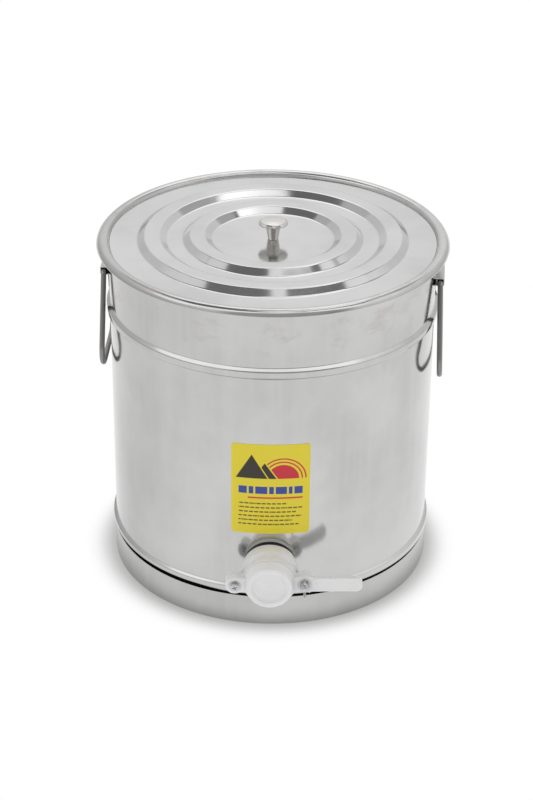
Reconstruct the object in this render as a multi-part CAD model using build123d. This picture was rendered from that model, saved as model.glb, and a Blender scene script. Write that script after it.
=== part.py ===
from build123d import *
import os
from math import cos, radians, sin, sqrt

# A stainless steel honey tank that stands on a base ring, with a loose lid, two drop handles and a plastic
# flap gate at the front. Millimetres, Z up, the floor at Z = 0, the tank's axis on Z and the gate towards -Y.

# Tank shell
wall_radius = 180.0      # outer face of the wall
tank_height = 390.7      # crest of the rolled rim
sheet = 0.8              # wall, bottom and lid

# Base ring that carries the wall
ring_height = 36.5
ring_sheet = 1.2
foot_width = 9.0         # flange turned in under the ring
foot_bend = 2.5
lap_drop = 8.5           # from the ring's top edge down to where the wall touches it
skirt_lap = 19.0         # height over which wall and ring are spot welded

# Groove and swaged bead above the base ring
neck_depth = 2.8         # how far the wall is drawn in behind the ring's top edge
neck_bend = 3.0
neck_slope = 2.0         # height of the slope into the neck, per depth
bead_gap = 3.4           # from the ring's top edge up to the bead
bead_height = 10.2
bead_depth = 3.0
bead_slope = 0.7         # height of the bead's lower and upper flank, per depth
bead_top_slope = 0.55
bottom_flange = 7.0      # flange of the tank bottom, turned down inside the neck
bottom_bend = 2.5

# Stiffening rib below the rim
rib_drop = 77.7          # from the rim's crest down to the rib's middle
rib_height = 13.2
rib_depth = 4.0
rib_slope = 0.53         # height of each flank, per depth
foot_share = 0.35        # bends at the foot and the crest of rib and bead, per depth
crest_share = 1.15

# Rim, the wall's edge rolled outwards
rim_inside = 6.0         # radius of the roll on the side of the mouth and on the outside
rim_outside = 8.6
rim_turn = 72.0          # how far the sheet is rolled past its crest, degrees

# Lid, with two raised rings
lid_inset = 0.24         # lid's edge inside the mouth
lid_clearance = 0.25     # between the lid's edge and the roll that it rests in
ring_rise = 6.4
ring_flank = 8.6         # width of each sloping flank
ring_foot_bend = 5.0
ring_crest_bend = 4.0
inner_ring = (66.5, 99.4)
outer_ring = (115.8, 149.2)

# Lid knob and its screw
knob_height = 22.5
knob_radius = 16.1
knob_top_radius = 14.2
knob_neck_radius = 8.5
knob_base_radius = 5.7
knob_bevel = 0.8
knob_edge = 1.2
knob_under = 1.5
knob_dome = 0.6
knob_screw_radius = 2.0
knob_screw_depth = 12.0
knob_screw_head = (4.0, 2.6)     # radius, height
knob_washer_size = (7.0, 1.0)    # radius, thickness

# Drop handles and the straps that hold them
right_turn = 4.3         # right and left handle off square to the gate, degrees
left_turn = 2.4
handle_gap = 4.6         # from the wall out to the handle's hinge line
hinge_drop = 40.2        # from the rim's crest down to the hinge line
right_lean = 2.2         # how far the right and left handle hang off the vertical, degrees
left_lean = 0.5
handle_wire = 3.0
handle_top_half = 23.8   # half the width at the hinge line and at the grip
handle_low_half = 62.5
handle_drop = 102.9
handle_top_bend = 5.0
handle_low_bend = 20.0
strap_sheet = 1.2
strap_length = 40.0
strap_fit = 0.3
strap_slack = 0.6        # room in the strap above the handle's bar
strap_round = 1.0

# Outlet socket and the gate screwed on it
gate_z = 76.7
gate_turn = 1.2          # gate screwed on a little off level, degrees
gate_standoff = 9.3      # from the wall to the gate's back face
bore_radius = 21.0
socket_radius = 24.0
socket_grip = 15.7       # length of socket inside the gate
thread_fit = 0.1
gasket_radius = 28.6     # gasket's flange on the wall, and its neck behind the gate
gasket_flange = 3.6
gasket_neck = 26.5
seal_thickness = 2.0
collar_radius = 31.7
collar_length = 13.7
nose_radius = 29.2
nose_length = 10.3
gate_edge = 1.2          # rounded edges of the plastic

# Ears of the gate, to the left for the pivot and to the right for the clamp
ear_pitch = 37.5
ear_depth = 8.0
pivot_ear_radius = 10.0
clamp_ear_radius = 11.0
web_height = 17.0

# Flap
flap_gap = 0.2
flap_plate = 5.5
disc_radius = 28.4       # back and front of the flap's tapered disc
disc_front = 24.2
disc_height = 11.7
disc_edge = 1.5
dish_radius = 19.8
dish_floor = 18.0
dish_depth = 2.6
lever_reach = 99.5       # gate's axis to the lever's tip
lever_height = 16.6
lever_corner = 6.5
slot_clearance = 0.6

# Fasteners of the gate
pivot_radius = 2.5
pivot_clearance = 0.1
pivot_head = (4.7, 3.0)          # radius, height
pivot_washer_size = (6.2, 1.0)   # radius, thickness
pivot_nut_size = (8.0, 4.0)      # across flats, thickness
recess_size = (5.0, 1.1, 1.6)    # cross recess: span, width, depth
clamp_radius = 3.0
clamp_head = (10.0, 4.0)         # across flats, thickness
clamp_washer_size = (7.0, 1.2)
washer_clearance = 0.2
wing_nut_base = (5.6, 4.4, 6.5)  # lower radius, upper radius, height
wing_span = 11.5
wing_rise = 9.5
wing_thickness = 2.4
wing_round = 1.0
wing_shares = (0.25, 0.5, 0.9)   # root, tip and shoulder of a wing, per height of the nut
nut_clearance = 0.1
thread_end = 2.0         # screw ends beyond their nuts

# Label on the wall
label_width = 85.0       # along the wall
label_height = 110.5
label_low = 118.0
label_corner = 4.0
label_thickness = 0.25

# Heights and radii that follow from these
groove_low = ring_height - lap_drop
skirt_foot = groove_low - skirt_lap
neck_radius = wall_radius - neck_depth
bead_low = ring_height + bead_gap
bead_top = bead_low + bead_height
rib_z = tank_height - rib_drop
rib_low = rib_z - rib_height / 2
rib_top = rib_z + rib_height / 2
mouth_radius = wall_radius - sheet
roll_r = mouth_radius + rim_inside
roll_z = tank_height - rim_inside
lid_radius = mouth_radius - lid_inset
lid_z = roll_z + sqrt((rim_inside + lid_clearance) ** 2 - (roll_r - lid_radius) ** 2) + sheet
handle_reach = wall_radius + handle_gap
hinge_z = tank_height - hinge_drop
back_z = wall_radius + gate_standoff
seat_z = back_z + collar_length + nose_length
flap_z = seat_z + flap_gap
flap_front = flap_z + flap_plate
shoulder_z = back_z + socket_grip + seal_thickness

# The gate's own frame: x to the right, y up, z outwards from the tank's axis
gate_level = (cos(radians(gate_turn)), 0, sin(radians(gate_turn)))
gate_frame = Plane(origin=(0, 0, gate_z), x_dir=gate_level, z_dir=(0, -1, 0))
pivot_at = Pos(-ear_pitch, 0, 0)
clamp_at = Pos(ear_pitch, 0, 0)
on_base = (Align.CENTER, Align.CENTER, Align.MIN)


def turned(section):
    """Solid of revolution about the tank's axis of a section drawn as (radius, height)."""
    return revolve(Plane.XZ * section, Axis.Z)


def bent_sheet(points, bends, thickness, side):
    """Section of bent sheet: one face follows the rounded points, the other lies a thickness to the side."""
    face_line = FilletPolyline(*points, radius=bends)
    return make_face(offset(face_line, thickness, side=side, closed=True).edges())


def disc(radius, low, high):
    """Round bar along z between two heights."""
    return Pos(0, 0, low) * Cylinder(radius, high - low, align=on_base)


def tube(outer, inner, low, high):
    """Round tube along z between two heights."""
    return disc(outer, low, high) - disc(inner, low, high)


def hexagon(across_flats, low, high):
    """Hexagonal bar along z between two heights."""
    outline = RegularPolygon(across_flats / 2, 6, major_radius=False)
    return Pos(0, 0, low) * extrude(outline, high - low)


def rounded(solid, edges, radius):
    """Solid with the given edges rounded."""
    return fillet(edges, radius) if edges else solid


def at_gate(shape):
    """Shape drawn in the gate's frame, in its place on the tank."""
    return gate_frame * shape


# Wall: skirt inside the base ring, groove, bead, plain wall and rib as the sheet's outer face, then the roll
wall_points = [
    (wall_radius, skirt_foot),
    (wall_radius, groove_low),
    (neck_radius, groove_low + neck_slope * neck_depth),
    (neck_radius, bead_low),
    (wall_radius + bead_depth, bead_low + bead_slope * bead_depth),
    (wall_radius + bead_depth, bead_top - bead_top_slope * bead_depth),
    (wall_radius, bead_top),
    (wall_radius, rib_low),
    (wall_radius + rib_depth, rib_low + rib_slope * rib_depth),
    (wall_radius + rib_depth, rib_top - rib_slope * rib_depth),
    (wall_radius, rib_top),
    (wall_radius, roll_z),
]
bead_foot = foot_share * bead_depth
bead_crest = crest_share * bead_depth
rib_foot = foot_share * rib_depth
rib_crest = crest_share * rib_depth
wall_bends = [neck_bend, neck_bend, bead_foot, bead_crest, bead_crest, bead_foot,
              rib_foot, rib_crest, rib_crest, rib_foot]
wall_strip = bent_sheet(wall_points, wall_bends, sheet, Side.LEFT)


def roll_line(inset):
    """Line of the rolled rim: a quarter turn up from the mouth, then over its crest and down the outside."""
    up = CenterArc((roll_r, roll_z), rim_inside - inset, 180, -90)
    down = CenterArc((roll_r, tank_height - rim_outside), rim_outside - inset, 90, -rim_turn)
    return [up, down]


roll_face, roll_back = roll_line(0), roll_line(sheet)
roll_ends = [Line(roll_face[end] @ end, roll_back[end] @ end) for end in (0, 1)]
rim = make_face([*roll_face, *roll_back, *roll_ends])
outlet_hole = at_gate(disc(socket_radius, 0, back_z))
tank_wall = turned(wall_strip + rim) - outlet_hole

# The space that the wall's outer face encloses, for what is fitted against it
wall_face = FilletPolyline(*wall_points, radius=wall_bends)
closing_line = Polyline(wall_points[-1], (0, wall_points[-1][1]), (0, skirt_foot), wall_points[0])
tank_envelope = turned(make_face(wall_face.edges() + closing_line.edges()))

# Bottom, a flanged disc in the neck above the base ring
bottom_radius = neck_radius - sheet
bottom_points = [(0, bead_low), (bottom_radius, bead_low), (bottom_radius, bead_low - bottom_flange)]
tank_bottom = turned(bent_sheet(bottom_points, [bottom_bend], sheet, Side.RIGHT))

# Base ring with its foot flange on the floor
ring_radius = wall_radius + ring_sheet
ring_points = [(ring_radius, ring_height), (ring_radius, 0), (ring_radius - foot_width, 0)]
base_ring = turned(bent_sheet(ring_points, [foot_bend], ring_sheet, Side.RIGHT))


# Lid: flats at one height and two rings raised between them; its edge rests in the rim's roll
def raised_ring(inner, outer):
    """Four corners of one raised ring of the lid, from the inside out."""
    crest_z = lid_z + ring_rise
    return [(inner, lid_z), (inner + ring_flank, crest_z), (outer - ring_flank, crest_z), (outer, lid_z)]


lid_points = [(0, lid_z), *raised_ring(*inner_ring), *raised_ring(*outer_ring), (lid_radius, lid_z)]
ring_bends = [ring_foot_bend, ring_crest_bend, ring_crest_bend, ring_foot_bend]
lid_plate = turned(bent_sheet(lid_points, ring_bends * 2, sheet, Side.RIGHT))
lid = lid_plate - disc(knob_screw_radius + thread_fit, lid_z - 2 * sheet, lid_z + sheet)

# Knob: a tapered stem under a thin cap, drilled from below for its screw
head_low = knob_height - knob_dome - knob_bevel - knob_edge
knob_outline = Polyline(
    (0, 0),
    (knob_base_radius, 0),
    (knob_neck_radius, head_low - knob_under),
    (knob_radius, head_low),
    (knob_radius, head_low + knob_edge),
    (knob_top_radius, head_low + knob_edge + knob_bevel),
    (0, knob_height),
    close=True,
)
knob_blank = Pos(0, 0, lid_z) * turned(make_face(knob_outline))
knob_hole = disc(knob_screw_radius + thread_fit, lid_z, lid_z + knob_screw_depth)
lid_knob = knob_blank - knob_hole

# Washer and screw that hold the knob from under the lid
washer_top = lid_z - sheet
washer_low = washer_top - knob_washer_size[1]
knob_washer = tube(knob_washer_size[0], knob_screw_radius + thread_fit, washer_low, washer_top)
screw_head_low = washer_low - knob_screw_head[1]
knob_screw_tip = lid_z + knob_screw_depth - thread_end
knob_screw = disc(knob_screw_head[0], screw_head_low, washer_low)
knob_screw += disc(knob_screw_radius, washer_low, knob_screw_tip)
drive_slot = Box(2 * knob_screw_head[0], recess_size[1], recess_size[2])
knob_screw -= Pos(0, 0, screw_head_low) * drive_slot


def side_frame(side):
    """Frame on a handle's hinge line: x along it, y up and z outwards; side is 1 right, -1 left."""
    turn = radians(right_turn if side > 0 else left_turn)
    outward = Vector(side * cos(turn), -side * sin(turn), 0)
    along = (side * sin(turn), side * cos(turn), 0)
    origin = outward * handle_reach + Vector(0, 0, hinge_z)
    return Plane(origin=origin, x_dir=along, z_dir=outward)


def handle_loop(lean):
    """Closed loop of wire that hangs from its bar on the x axis, leaning outwards."""
    corners = [(-handle_top_half, 0), (handle_top_half, 0),
               (handle_low_half, -handle_drop), (-handle_low_half, -handle_drop)]
    bends = [handle_top_bend, handle_top_bend, handle_low_bend, handle_low_bend]
    path = FilletPolyline(*corners, radius=bends, close=True)
    section = Plane(origin=path @ 0, z_dir=path % 0) * Circle(handle_wire)
    return Rot(-lean, 0, 0) * sweep(section, path=path)


def strap_space(growth):
    """Section of the space in a strap as (up, out) from the hinge line, open to the wall, grown all round."""
    reach = handle_wire + strap_fit + growth
    depth = handle_reach - sqrt(wall_radius ** 2 - (strap_length / 2) ** 2) + strap_sheet
    blank = Pos(strap_slack / 2, (reach - depth) / 2) * Rectangle(2 * reach + strap_slack, reach + depth)
    return fillet(blank.vertices().group_by(Axis.Y)[-1], strap_round + growth)


def strap(side):
    """Strap folded round a handle's bar, its two edges welded to the wall."""
    across = Plane(origin=(-strap_length / 2, 0, 0), x_dir=(0, 1, 0), z_dir=(1, 0, 0))
    channel = across * extrude(strap_space(strap_sheet) - strap_space(0), strap_length)
    return side_frame(side) * channel - disc(wall_radius, 0, tank_height)


handle_right = side_frame(1) * handle_loop(right_lean)
handle_left = side_frame(-1) * handle_loop(left_lean)
handle_strap_right = strap(1)
handle_strap_left = strap(-1)

# Steel socket through the wall, flush with the wall's inner face, and the gasket between wall and gate
tank_space = disc(wall_radius - sheet, 0, tank_height)
outlet_socket = at_gate(tube(socket_radius, bore_radius, 0, back_z + socket_grip)) - tank_space
gasket_front = wall_radius + gasket_flange
gasket_blank = tube(gasket_radius, socket_radius, 0, gasket_front)
gasket_blank += tube(gasket_neck, socket_radius, 0, back_z)
gate_gasket = at_gate(gasket_blank) - tank_envelope
socket_seal = at_gate(tube(socket_radius, bore_radius, back_z + socket_grip, shoulder_z))

# Gate body: threaded collar, nose with the flap's seat, and an ear on each side
collar = disc(collar_radius, back_z, back_z + collar_length)
collar = rounded(collar, collar.edges(), gate_edge)
ear_back = seat_z - ear_depth
ears = pivot_at * disc(pivot_ear_radius, ear_back, seat_z)
ears += clamp_at * disc(clamp_ear_radius, ear_back, seat_z)
web = Box(2 * ear_pitch, web_height, ear_depth, align=(Align.CENTER, Align.CENTER, Align.MAX))
ears += Pos(0, 0, seat_z) * web
gate_block = collar + disc(nose_radius, back_z + collar_length - gate_edge, seat_z) + ears
gate_block -= disc(socket_radius + thread_fit, back_z, shoulder_z)
gate_block -= disc(bore_radius, shoulder_z, seat_z)
gate_block -= pivot_at * disc(pivot_radius + pivot_clearance, back_z, seat_z)
gate_block -= clamp_at * disc(clamp_radius + pivot_clearance, back_z, seat_z)
gate_body = at_gate(gate_block)

# Flap: dished disc, pivot ear, clamp ear with a slot that swings off the clamp bolt, and lever
half_slot = clamp_radius + slot_clearance
swing_radius = 2 * ear_pitch
swing_track = pivot_at * (Circle(swing_radius + half_slot) - Circle(swing_radius - half_slot))
hanging = (Align.CENTER, Align.MAX)
below_clamp = clamp_at * Rectangle(4 * clamp_ear_radius, 2 * clamp_ear_radius, align=hanging)
slot = (swing_track & below_clamp) + clamp_at * Circle(half_slot)
lever_length = lever_reach - ear_pitch
lever_blank = Pos(ear_pitch + lever_length / 2, 0) * Rectangle(lever_length, lever_height)
tip_corners = lever_blank.vertices().group_by(Axis.X)[-1]
lever = fillet(tip_corners, lever_corner)
plate_outline = pivot_at * Circle(pivot_ear_radius) + clamp_at * Circle(clamp_ear_radius) + lever
plate_outline += Rectangle(2 * ear_pitch, web_height)
plate_outline -= slot + pivot_at * Circle(pivot_radius + pivot_clearance)
flap_blank = Pos(0, 0, flap_z) * extrude(plate_outline, flap_plate)
disc_top = flap_z + disc_height
face_disc = Pos(0, 0, flap_z) * Cone(disc_radius, disc_front, disc_height, align=on_base)
face_disc = rounded(face_disc, face_disc.edges().group_by(Axis.Z)[-1], disc_edge)
dish = Pos(0, 0, disc_top - dish_depth) * Cone(dish_floor, dish_radius, dish_depth, align=on_base)
gate_flap = at_gate(flap_blank + face_disc - dish)

# Pivot: cross-recessed screw with washers front and back, and a nut behind the ear
pivot_washer_z = flap_front + flap_gap
pivot_head_z = pivot_washer_z + pivot_washer_size[1]
nut_top = ear_back - pivot_washer_size[1]
nut_low = nut_top - pivot_nut_size[1]
pivot_washer = at_gate(pivot_at * tube(pivot_washer_size[0], pivot_radius, pivot_washer_z, pivot_head_z))
pivot_back_washer = at_gate(pivot_at * tube(pivot_washer_size[0], pivot_radius, nut_top, ear_back))
nut_blank = hexagon(pivot_nut_size[0], nut_low, nut_top) - disc(pivot_radius, nut_low, nut_top)
pivot_nut = at_gate(pivot_at * nut_blank)
pan_head = disc(pivot_head[0], pivot_head_z, pivot_head_z + pivot_head[1])
pan_head = rounded(pan_head, pan_head.edges().group_by(Axis.Z)[-1], pivot_head[1] / 2)
cross = Box(recess_size[0], recess_size[1], 2 * recess_size[2])
cross += Box(recess_size[1], recess_size[0], 2 * recess_size[2])
pivot_blank = pan_head + disc(pivot_radius, nut_low - thread_end, pivot_head_z)
pivot_screw = at_gate(pivot_at * (pivot_blank - Pos(0, 0, pivot_head_z + pivot_head[1]) * cross))

# Clamp: bolt from behind the ear, washer in front of the flap, and wing nut
clamp_washer_z = flap_front + flap_gap
washer_front = clamp_washer_z + clamp_washer_size[1]
wing_z = washer_front + nut_clearance
bolt_tip = wing_z + wing_nut_base[2] + thread_end
bolt = hexagon(clamp_head[0], ear_back - clamp_head[1], ear_back) + disc(clamp_radius, ear_back, bolt_tip)
clamp_bolt = at_gate(clamp_at * bolt)
washer_tube = tube(clamp_washer_size[0], clamp_radius + washer_clearance, clamp_washer_z, washer_front)
clamp_washer = at_gate(clamp_at * washer_tube)


def wing(side):
    """One wing of the wing nut in the y-z plane; side is 1 up, -1 down."""
    low_radius, top_radius, height = wing_nut_base
    root, tip, shoulder = (share * height for share in wing_shares)
    corners = [(side * top_radius / 2, root), (side * low_radius, root),
               (side * wing_span, tip), (side * wing_span, wing_rise),
               (side * (wing_span + top_radius) / 2, wing_rise), (side * top_radius / 2, shoulder)]
    blank = make_face(Polyline(*corners, close=True))
    tips = blank.vertices().sort_by(Axis.X)[-3:] if side > 0 else blank.vertices().sort_by(Axis.X)[:3]
    outline = fillet(tips, wing_round)
    across = Plane(origin=(-wing_thickness / 2, 0, 0), x_dir=(0, 1, 0), z_dir=(1, 0, 0))
    return across * extrude(outline, wing_thickness)


nut_cone = Cone(*wing_nut_base, align=on_base)
nut_solid = nut_cone + wing(1) + wing(-1) - disc(clamp_radius + nut_clearance, 0, wing_rise)
wing_nut = at_gate(clamp_at * Pos(0, 0, wing_z) * nut_solid)

# Label, a rounded rectangle rolled on to the wall
label_half_angle = label_width / 2 / wall_radius
label_flat = RectangleRounded(2 * wall_radius * sin(label_half_angle), label_height, label_corner)
label_window = Plane.XZ * Pos(0, label_low + label_height / 2) * extrude(label_flat, 2 * wall_radius)
label_shell = tube(wall_radius + label_thickness, wall_radius, label_low - label_corner, tank_height)
label = label_shell & label_window

nodes = {
    "tank_wall": tank_wall,
    "tank_bottom": tank_bottom,
    "base_ring": base_ring,
    "lid": lid,
    "lid_knob": lid_knob,
    "knob_washer": knob_washer,
    "knob_screw": knob_screw,
    "handle_right": handle_right,
    "handle_left": handle_left,
    "handle_strap_right": handle_strap_right,
    "handle_strap_left": handle_strap_left,
    "outlet_socket": outlet_socket,
    "gate_gasket": gate_gasket,
    "socket_seal": socket_seal,
    "gate_body": gate_body,
    "gate_flap": gate_flap,
    "pivot_screw": pivot_screw,
    "pivot_washer": pivot_washer,
    "pivot_back_washer": pivot_back_washer,
    "pivot_nut": pivot_nut,
    "clamp_bolt": clamp_bolt,
    "clamp_washer": clamp_washer,
    "wing_nut": wing_nut,
    "label": label,
}
os.makedirs("parts", exist_ok=True)
for name, shape in nodes.items():
    export_step(shape, f"parts/{name}.step")
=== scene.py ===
# %% [markdown]
# A polished steel honey tank.
# The tank is a tall pot of thin stainless sheet on a base ring, with a loose lid, two drop handles and a
# white plastic gate to let the honey out. Its solids come ready made as a frame, and this lesson dresses
# them. Each piece that shows plainly is worked out again as a smooth surface, because flat facets spoil a
# mirror finish. The pieces behind them stay as solids and only get a finish.

import bpy
import bmesh
import numpy as np
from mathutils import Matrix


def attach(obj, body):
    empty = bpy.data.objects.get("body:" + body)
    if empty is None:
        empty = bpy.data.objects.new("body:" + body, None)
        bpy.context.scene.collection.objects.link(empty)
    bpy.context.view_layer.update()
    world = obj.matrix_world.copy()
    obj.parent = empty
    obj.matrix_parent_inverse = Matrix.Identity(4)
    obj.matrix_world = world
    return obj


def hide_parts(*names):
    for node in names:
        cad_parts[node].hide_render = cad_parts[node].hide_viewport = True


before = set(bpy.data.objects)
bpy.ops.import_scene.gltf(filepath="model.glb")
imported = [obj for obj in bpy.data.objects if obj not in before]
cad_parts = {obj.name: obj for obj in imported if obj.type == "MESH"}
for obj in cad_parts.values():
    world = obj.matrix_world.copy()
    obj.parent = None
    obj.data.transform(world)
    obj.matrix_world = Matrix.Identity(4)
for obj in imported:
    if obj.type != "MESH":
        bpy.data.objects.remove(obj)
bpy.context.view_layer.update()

# %% [markdown]
# How a surface becomes a mesh.
# Every new piece is a grid of points, rows by columns, computed as one array. Neighbouring points are
# joined by quads, and a grid can close on itself in either direction, as a ring or a tube does. A list of
# quads made with index arithmetic does this for any grid. Points that fall together, as at a pole, are
# merged afterwards, so one rule serves discs, tubes and patches alike.

# %% Grids, shells and pieces
MM, HAIR = 0.001, 1e-6


def grid_shell(points, close_rows=True, close_cols=True, keep=None):
    """Quads over a grid of points: corner (i, j) joins (i, j+1), (i+1, j+1) and (i+1, j), and wraps round
    where the grid is closed. keep is a mask of the quads to use."""
    rows, cols = points.shape[:2]
    i = np.arange(rows if close_rows else rows - 1)
    j = np.arange(cols if close_cols else cols - 1)
    i, j = np.meshgrid(i, j, indexing="ij")
    i2, j2 = (i + 1) % rows, (j + 1) % cols
    quads = np.stack([i * cols + j, i * cols + j2, i2 * cols + j2, i2 * cols + j], axis=-1)
    quads = quads.reshape(-1, 4) if keep is None else quads[keep]
    return points.reshape(-1, 3), quads.tolist()


def capped_shell(points):
    """Rows of closed loops joined by quads, with one flat face over the first loop and one over the last."""
    verts, faces = grid_shell(points, close_rows=False)
    rows, cols = points.shape[:2]
    return verts, faces + [list(range(cols))[::-1], list(range((rows - 1) * cols, rows * cols))]


def add_piece(name, shells, body, replaces=(), sharp=32.0, weld=1e-7):
    """Mesh object from shells in millimetres: joined, doubles merged, faces turned outwards, and smooth
    but for edges sharper than the given angle."""
    starts = np.cumsum([0] + [len(v) for v, _ in shells[:-1]])
    faces = [[k + s for k in f] for (_, fs), s in zip(shells, starts) for f in fs]
    mesh = bpy.data.meshes.new(name)
    mesh.from_pydata((np.concatenate([v for v, _ in shells]) * MM).tolist(), [], faces)
    bm = bmesh.new()
    bm.from_mesh(mesh)
    bmesh.ops.remove_doubles(bm, verts=bm.verts, dist=weld)
    bmesh.ops.recalc_face_normals(bm, faces=bm.faces)
    bm.to_mesh(mesh)
    bm.free()
    mesh.polygons.foreach_set("use_smooth", np.ones(len(mesh.polygons), dtype=bool))
    mesh.set_sharp_from_angle(angle=np.radians(sharp))
    piece = bpy.data.objects.new(name, mesh)
    bpy.context.scene.collection.objects.link(piece)
    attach(piece, body)
    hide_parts(*replaces)
    print(f"{name}: {len(mesh.vertices)} points, {len(mesh.polygons)} faces, rides on {body}")
    return piece


# %% [markdown]
# Bent sheet and turned sections.
# Sheet metal is straight runs joined by bends, so a section is a list of corners with a bend radius at
# each. All corners are rounded at once: the arc's centre lies on the bisector, radius / sin(half angle)
# from the corner. A second line at the sheet's thickness closes the section, and turning it about an axis
# gives a pot, a ring or a lid. A screw modifier could turn it too, but whole arrays keep the seam closed
# and exact.

# %% Rounded lines, sheet sections and turning
def rounded_line(points, radii, steps=7):
    """Path through the points whose inner corners are arcs: each arc's centre is on the bisector, and its
    ends are where it touches the two runs."""
    p = np.asarray(points, float)
    rad = np.broadcast_to(np.asarray(radii, float), len(p) - 2)
    back, ahead = p[:-2] - p[1:-1], p[2:] - p[1:-1]
    back /= np.linalg.norm(back, axis=1, keepdims=True)
    ahead /= np.linalg.norm(ahead, axis=1, keepdims=True)
    half = np.arccos(np.clip((back * ahead).sum(1), -1, 1)) / 2
    bisector = (back + ahead) / np.linalg.norm(back + ahead, axis=1, keepdims=True)
    centre = p[1:-1] + bisector * (rad / np.sin(half))[:, None]
    start = p[1:-1] + back * (rad / np.tan(half))[:, None] - centre
    side = np.sign(back[:, 1] * ahead[:, 0] - back[:, 0] * ahead[:, 1])
    turn = (side * (np.pi - 2 * half))[:, None] * np.linspace(0, 1, steps)
    angle = np.arctan2(start[:, 1], start[:, 0])[:, None] + turn
    arcs = centre[:, None] + rad[:, None, None] * np.stack([np.cos(angle), np.sin(angle)], axis=-1)
    return np.concatenate([p[:1], arcs.reshape(-1, 2), p[-1:]])


def on_circle(radius, angle):
    """Points at the given angles on a circle about the origin: (radius cos a, radius sin a)."""
    return radius * np.stack([np.cos(angle), np.sin(angle)], axis=-1)


def moved_left(path, distance):
    """The path moved sideways: each point goes the distance along the normal to the line through its
    neighbours."""
    along = np.gradient(path, axis=0)
    along /= np.linalg.norm(along, axis=1, keepdims=True)
    return path + distance * np.stack([-along[:, 1], along[:, 0]], axis=-1)


def sheet_section(path, thickness):
    """Closed section of a sheet: the path, then the path moved left by the thickness, run backwards."""
    return np.concatenate([path, moved_left(path, thickness)[::-1]])


def about_axis(r, a, h):
    """Points about an upright axis: at angle a from the front they are (r sin a, -r cos a, h)."""
    return np.stack(np.broadcast_arrays(r * np.sin(a), -r * np.cos(a), h), axis=-1)


def full_turn(steps):
    """Angles once round, from the back over the front, without the last one that closes the turn."""
    return np.linspace(-np.pi, np.pi, steps, endpoint=False)


def turned(section, segments=240):
    """Closed section (r, h) carried once round the axis."""
    return grid_shell(about_axis(section[:, :1], full_turn(segments), section[:, 1:]))


# %% [markdown]
# The tank wall.
# One sheet makes the skirt inside the base ring, the drawn-in neck, the bead, the plain wall, the rib and
# the rim, whose edge is rolled outwards in two arcs, a tight one on the side of the mouth and a wider one
# outside. It is drawn as one section, so the light runs over all of it without a break.

# %% Section of the wall
WALL_R, SHEET, RIM_TOP = 180.0, 0.8, 390.7
NECK_R, BEAD_R, RIB_R = 177.2, 183.0, 184.0
ROLL_IN, ROLL_OUT, ROLL_END = 6.0, 8.6, 20.8
ROLL = np.array([WALL_R - SHEET + ROLL_IN, RIM_TOP - ROLL_IN])
wall_corners = [(WALL_R, 9), (WALL_R, 28), (NECK_R, 33.6), (NECK_R, 39.9), (BEAD_R, 42), (BEAD_R, 47.9),
                (WALL_R, 50.04), (WALL_R, 306.1), (RIB_R, 309), (RIB_R, 316.3), (WALL_R, 319.4),
                (WALL_R, ROLL[1])]
wall_bends = [3, 3, 1.05, 3.0, 1.5, 1.05, 1.4, 4.6, 2.4, 1.2]
outer = rounded_line(wall_corners, wall_bends)
WINDOW_Z, WINDOW_ROWS = (51.0, 115.0), 15
heights = np.union1d(outer[:, 1], np.linspace(*WINDOW_Z, WINDOW_ROWS))
outer = np.stack([np.interp(heights, outer[:, 1], outer[:, 0]), heights], axis=-1)
up_a = np.radians(np.linspace(180, 90, 17))[1:]
down_a = np.radians(np.linspace(90, ROLL_END, 21))[1:]
roll_up = ROLL + on_circle(ROLL_IN - SHEET, up_a)
roll_down = np.array([ROLL[0], RIM_TOP - ROLL_OUT]) + on_circle(ROLL_OUT - SHEET, down_a)
section_line = np.concatenate([outer, roll_up, roll_down])
inside_line = moved_left(section_line, SHEET)
edge_mid = (section_line[-1] + inside_line[-1]) / 2
edge_half = (section_line[-1] - inside_line[-1]) / 2
edge_out = np.array([-edge_half[1], edge_half[0]])
edge_turn = np.radians(np.linspace(0, 180, 7))[1:-1, None]
edge = edge_mid + edge_half * np.cos(edge_turn) + edge_out * np.sin(edge_turn)
wall_section = np.concatenate([section_line, edge, inside_line[::-1]])
inner = inside_line[:len(outer)]
print("wall section:", len(wall_section), "points, roll", ROLL.round(2), "mm")

# %% [markdown]
# Two things keep the wall from being a plain turned surface. The bead isn't quite level: it comes closer
# to the base ring on one side, so the rows about its lower flank are moved down by an amount that depends
# on the angle. And the outlet needs a round hole in a grid of squares. The squares in a window round it
# are left out, and a patch fills the window, its columns running from the window's edge to the circle.
# Cutting with a boolean would leave long thin faces that show as scratches on polished steel.

# %% Wall with its outlet hole
SEGMENTS, WINDOW_COLS, PATCH_ROWS = 300, 10, 9
GATE_Z, SOCKET_R = 76.7, 24.0
BEAD_DROP, DROP_ANGLES, DROP_HEIGHTS = 1.5, [-26, -14, 100, 160], [36, 39.5, 42.5, 48]
IN_AND_OUT = [0, 1, 1, 0]
wall_a = full_turn(SEGMENTS)
row_z = wall_section[:, 1]
near_bead = np.interp(row_z, DROP_HEIGHTS, IN_AND_OUT)
bead_drop = BEAD_DROP * np.interp(np.degrees(wall_a), DROP_ANGLES, IN_AND_OUT)
wall_points = about_axis(wall_section[:, :1], wall_a, row_z[:, None] - near_bead[:, None] * bead_drop)
low_z, high_z = WINDOW_Z[0] - HAIR, WINDOW_Z[1] + HAIR
next_z = np.roll(row_z, -1)
row_in_window = (np.minimum(row_z, next_z) > low_z) & (np.maximum(row_z, next_z) < high_z)
mid = SEGMENTS // 2
column = np.arange(SEGMENTS)
col_in_window = (column >= mid - WINDOW_COLS) & (column < mid + WINDOW_COLS)
wall_shell = grid_shell(wall_points, keep=~(row_in_window[:, None] & col_in_window[None, :]))


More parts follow.
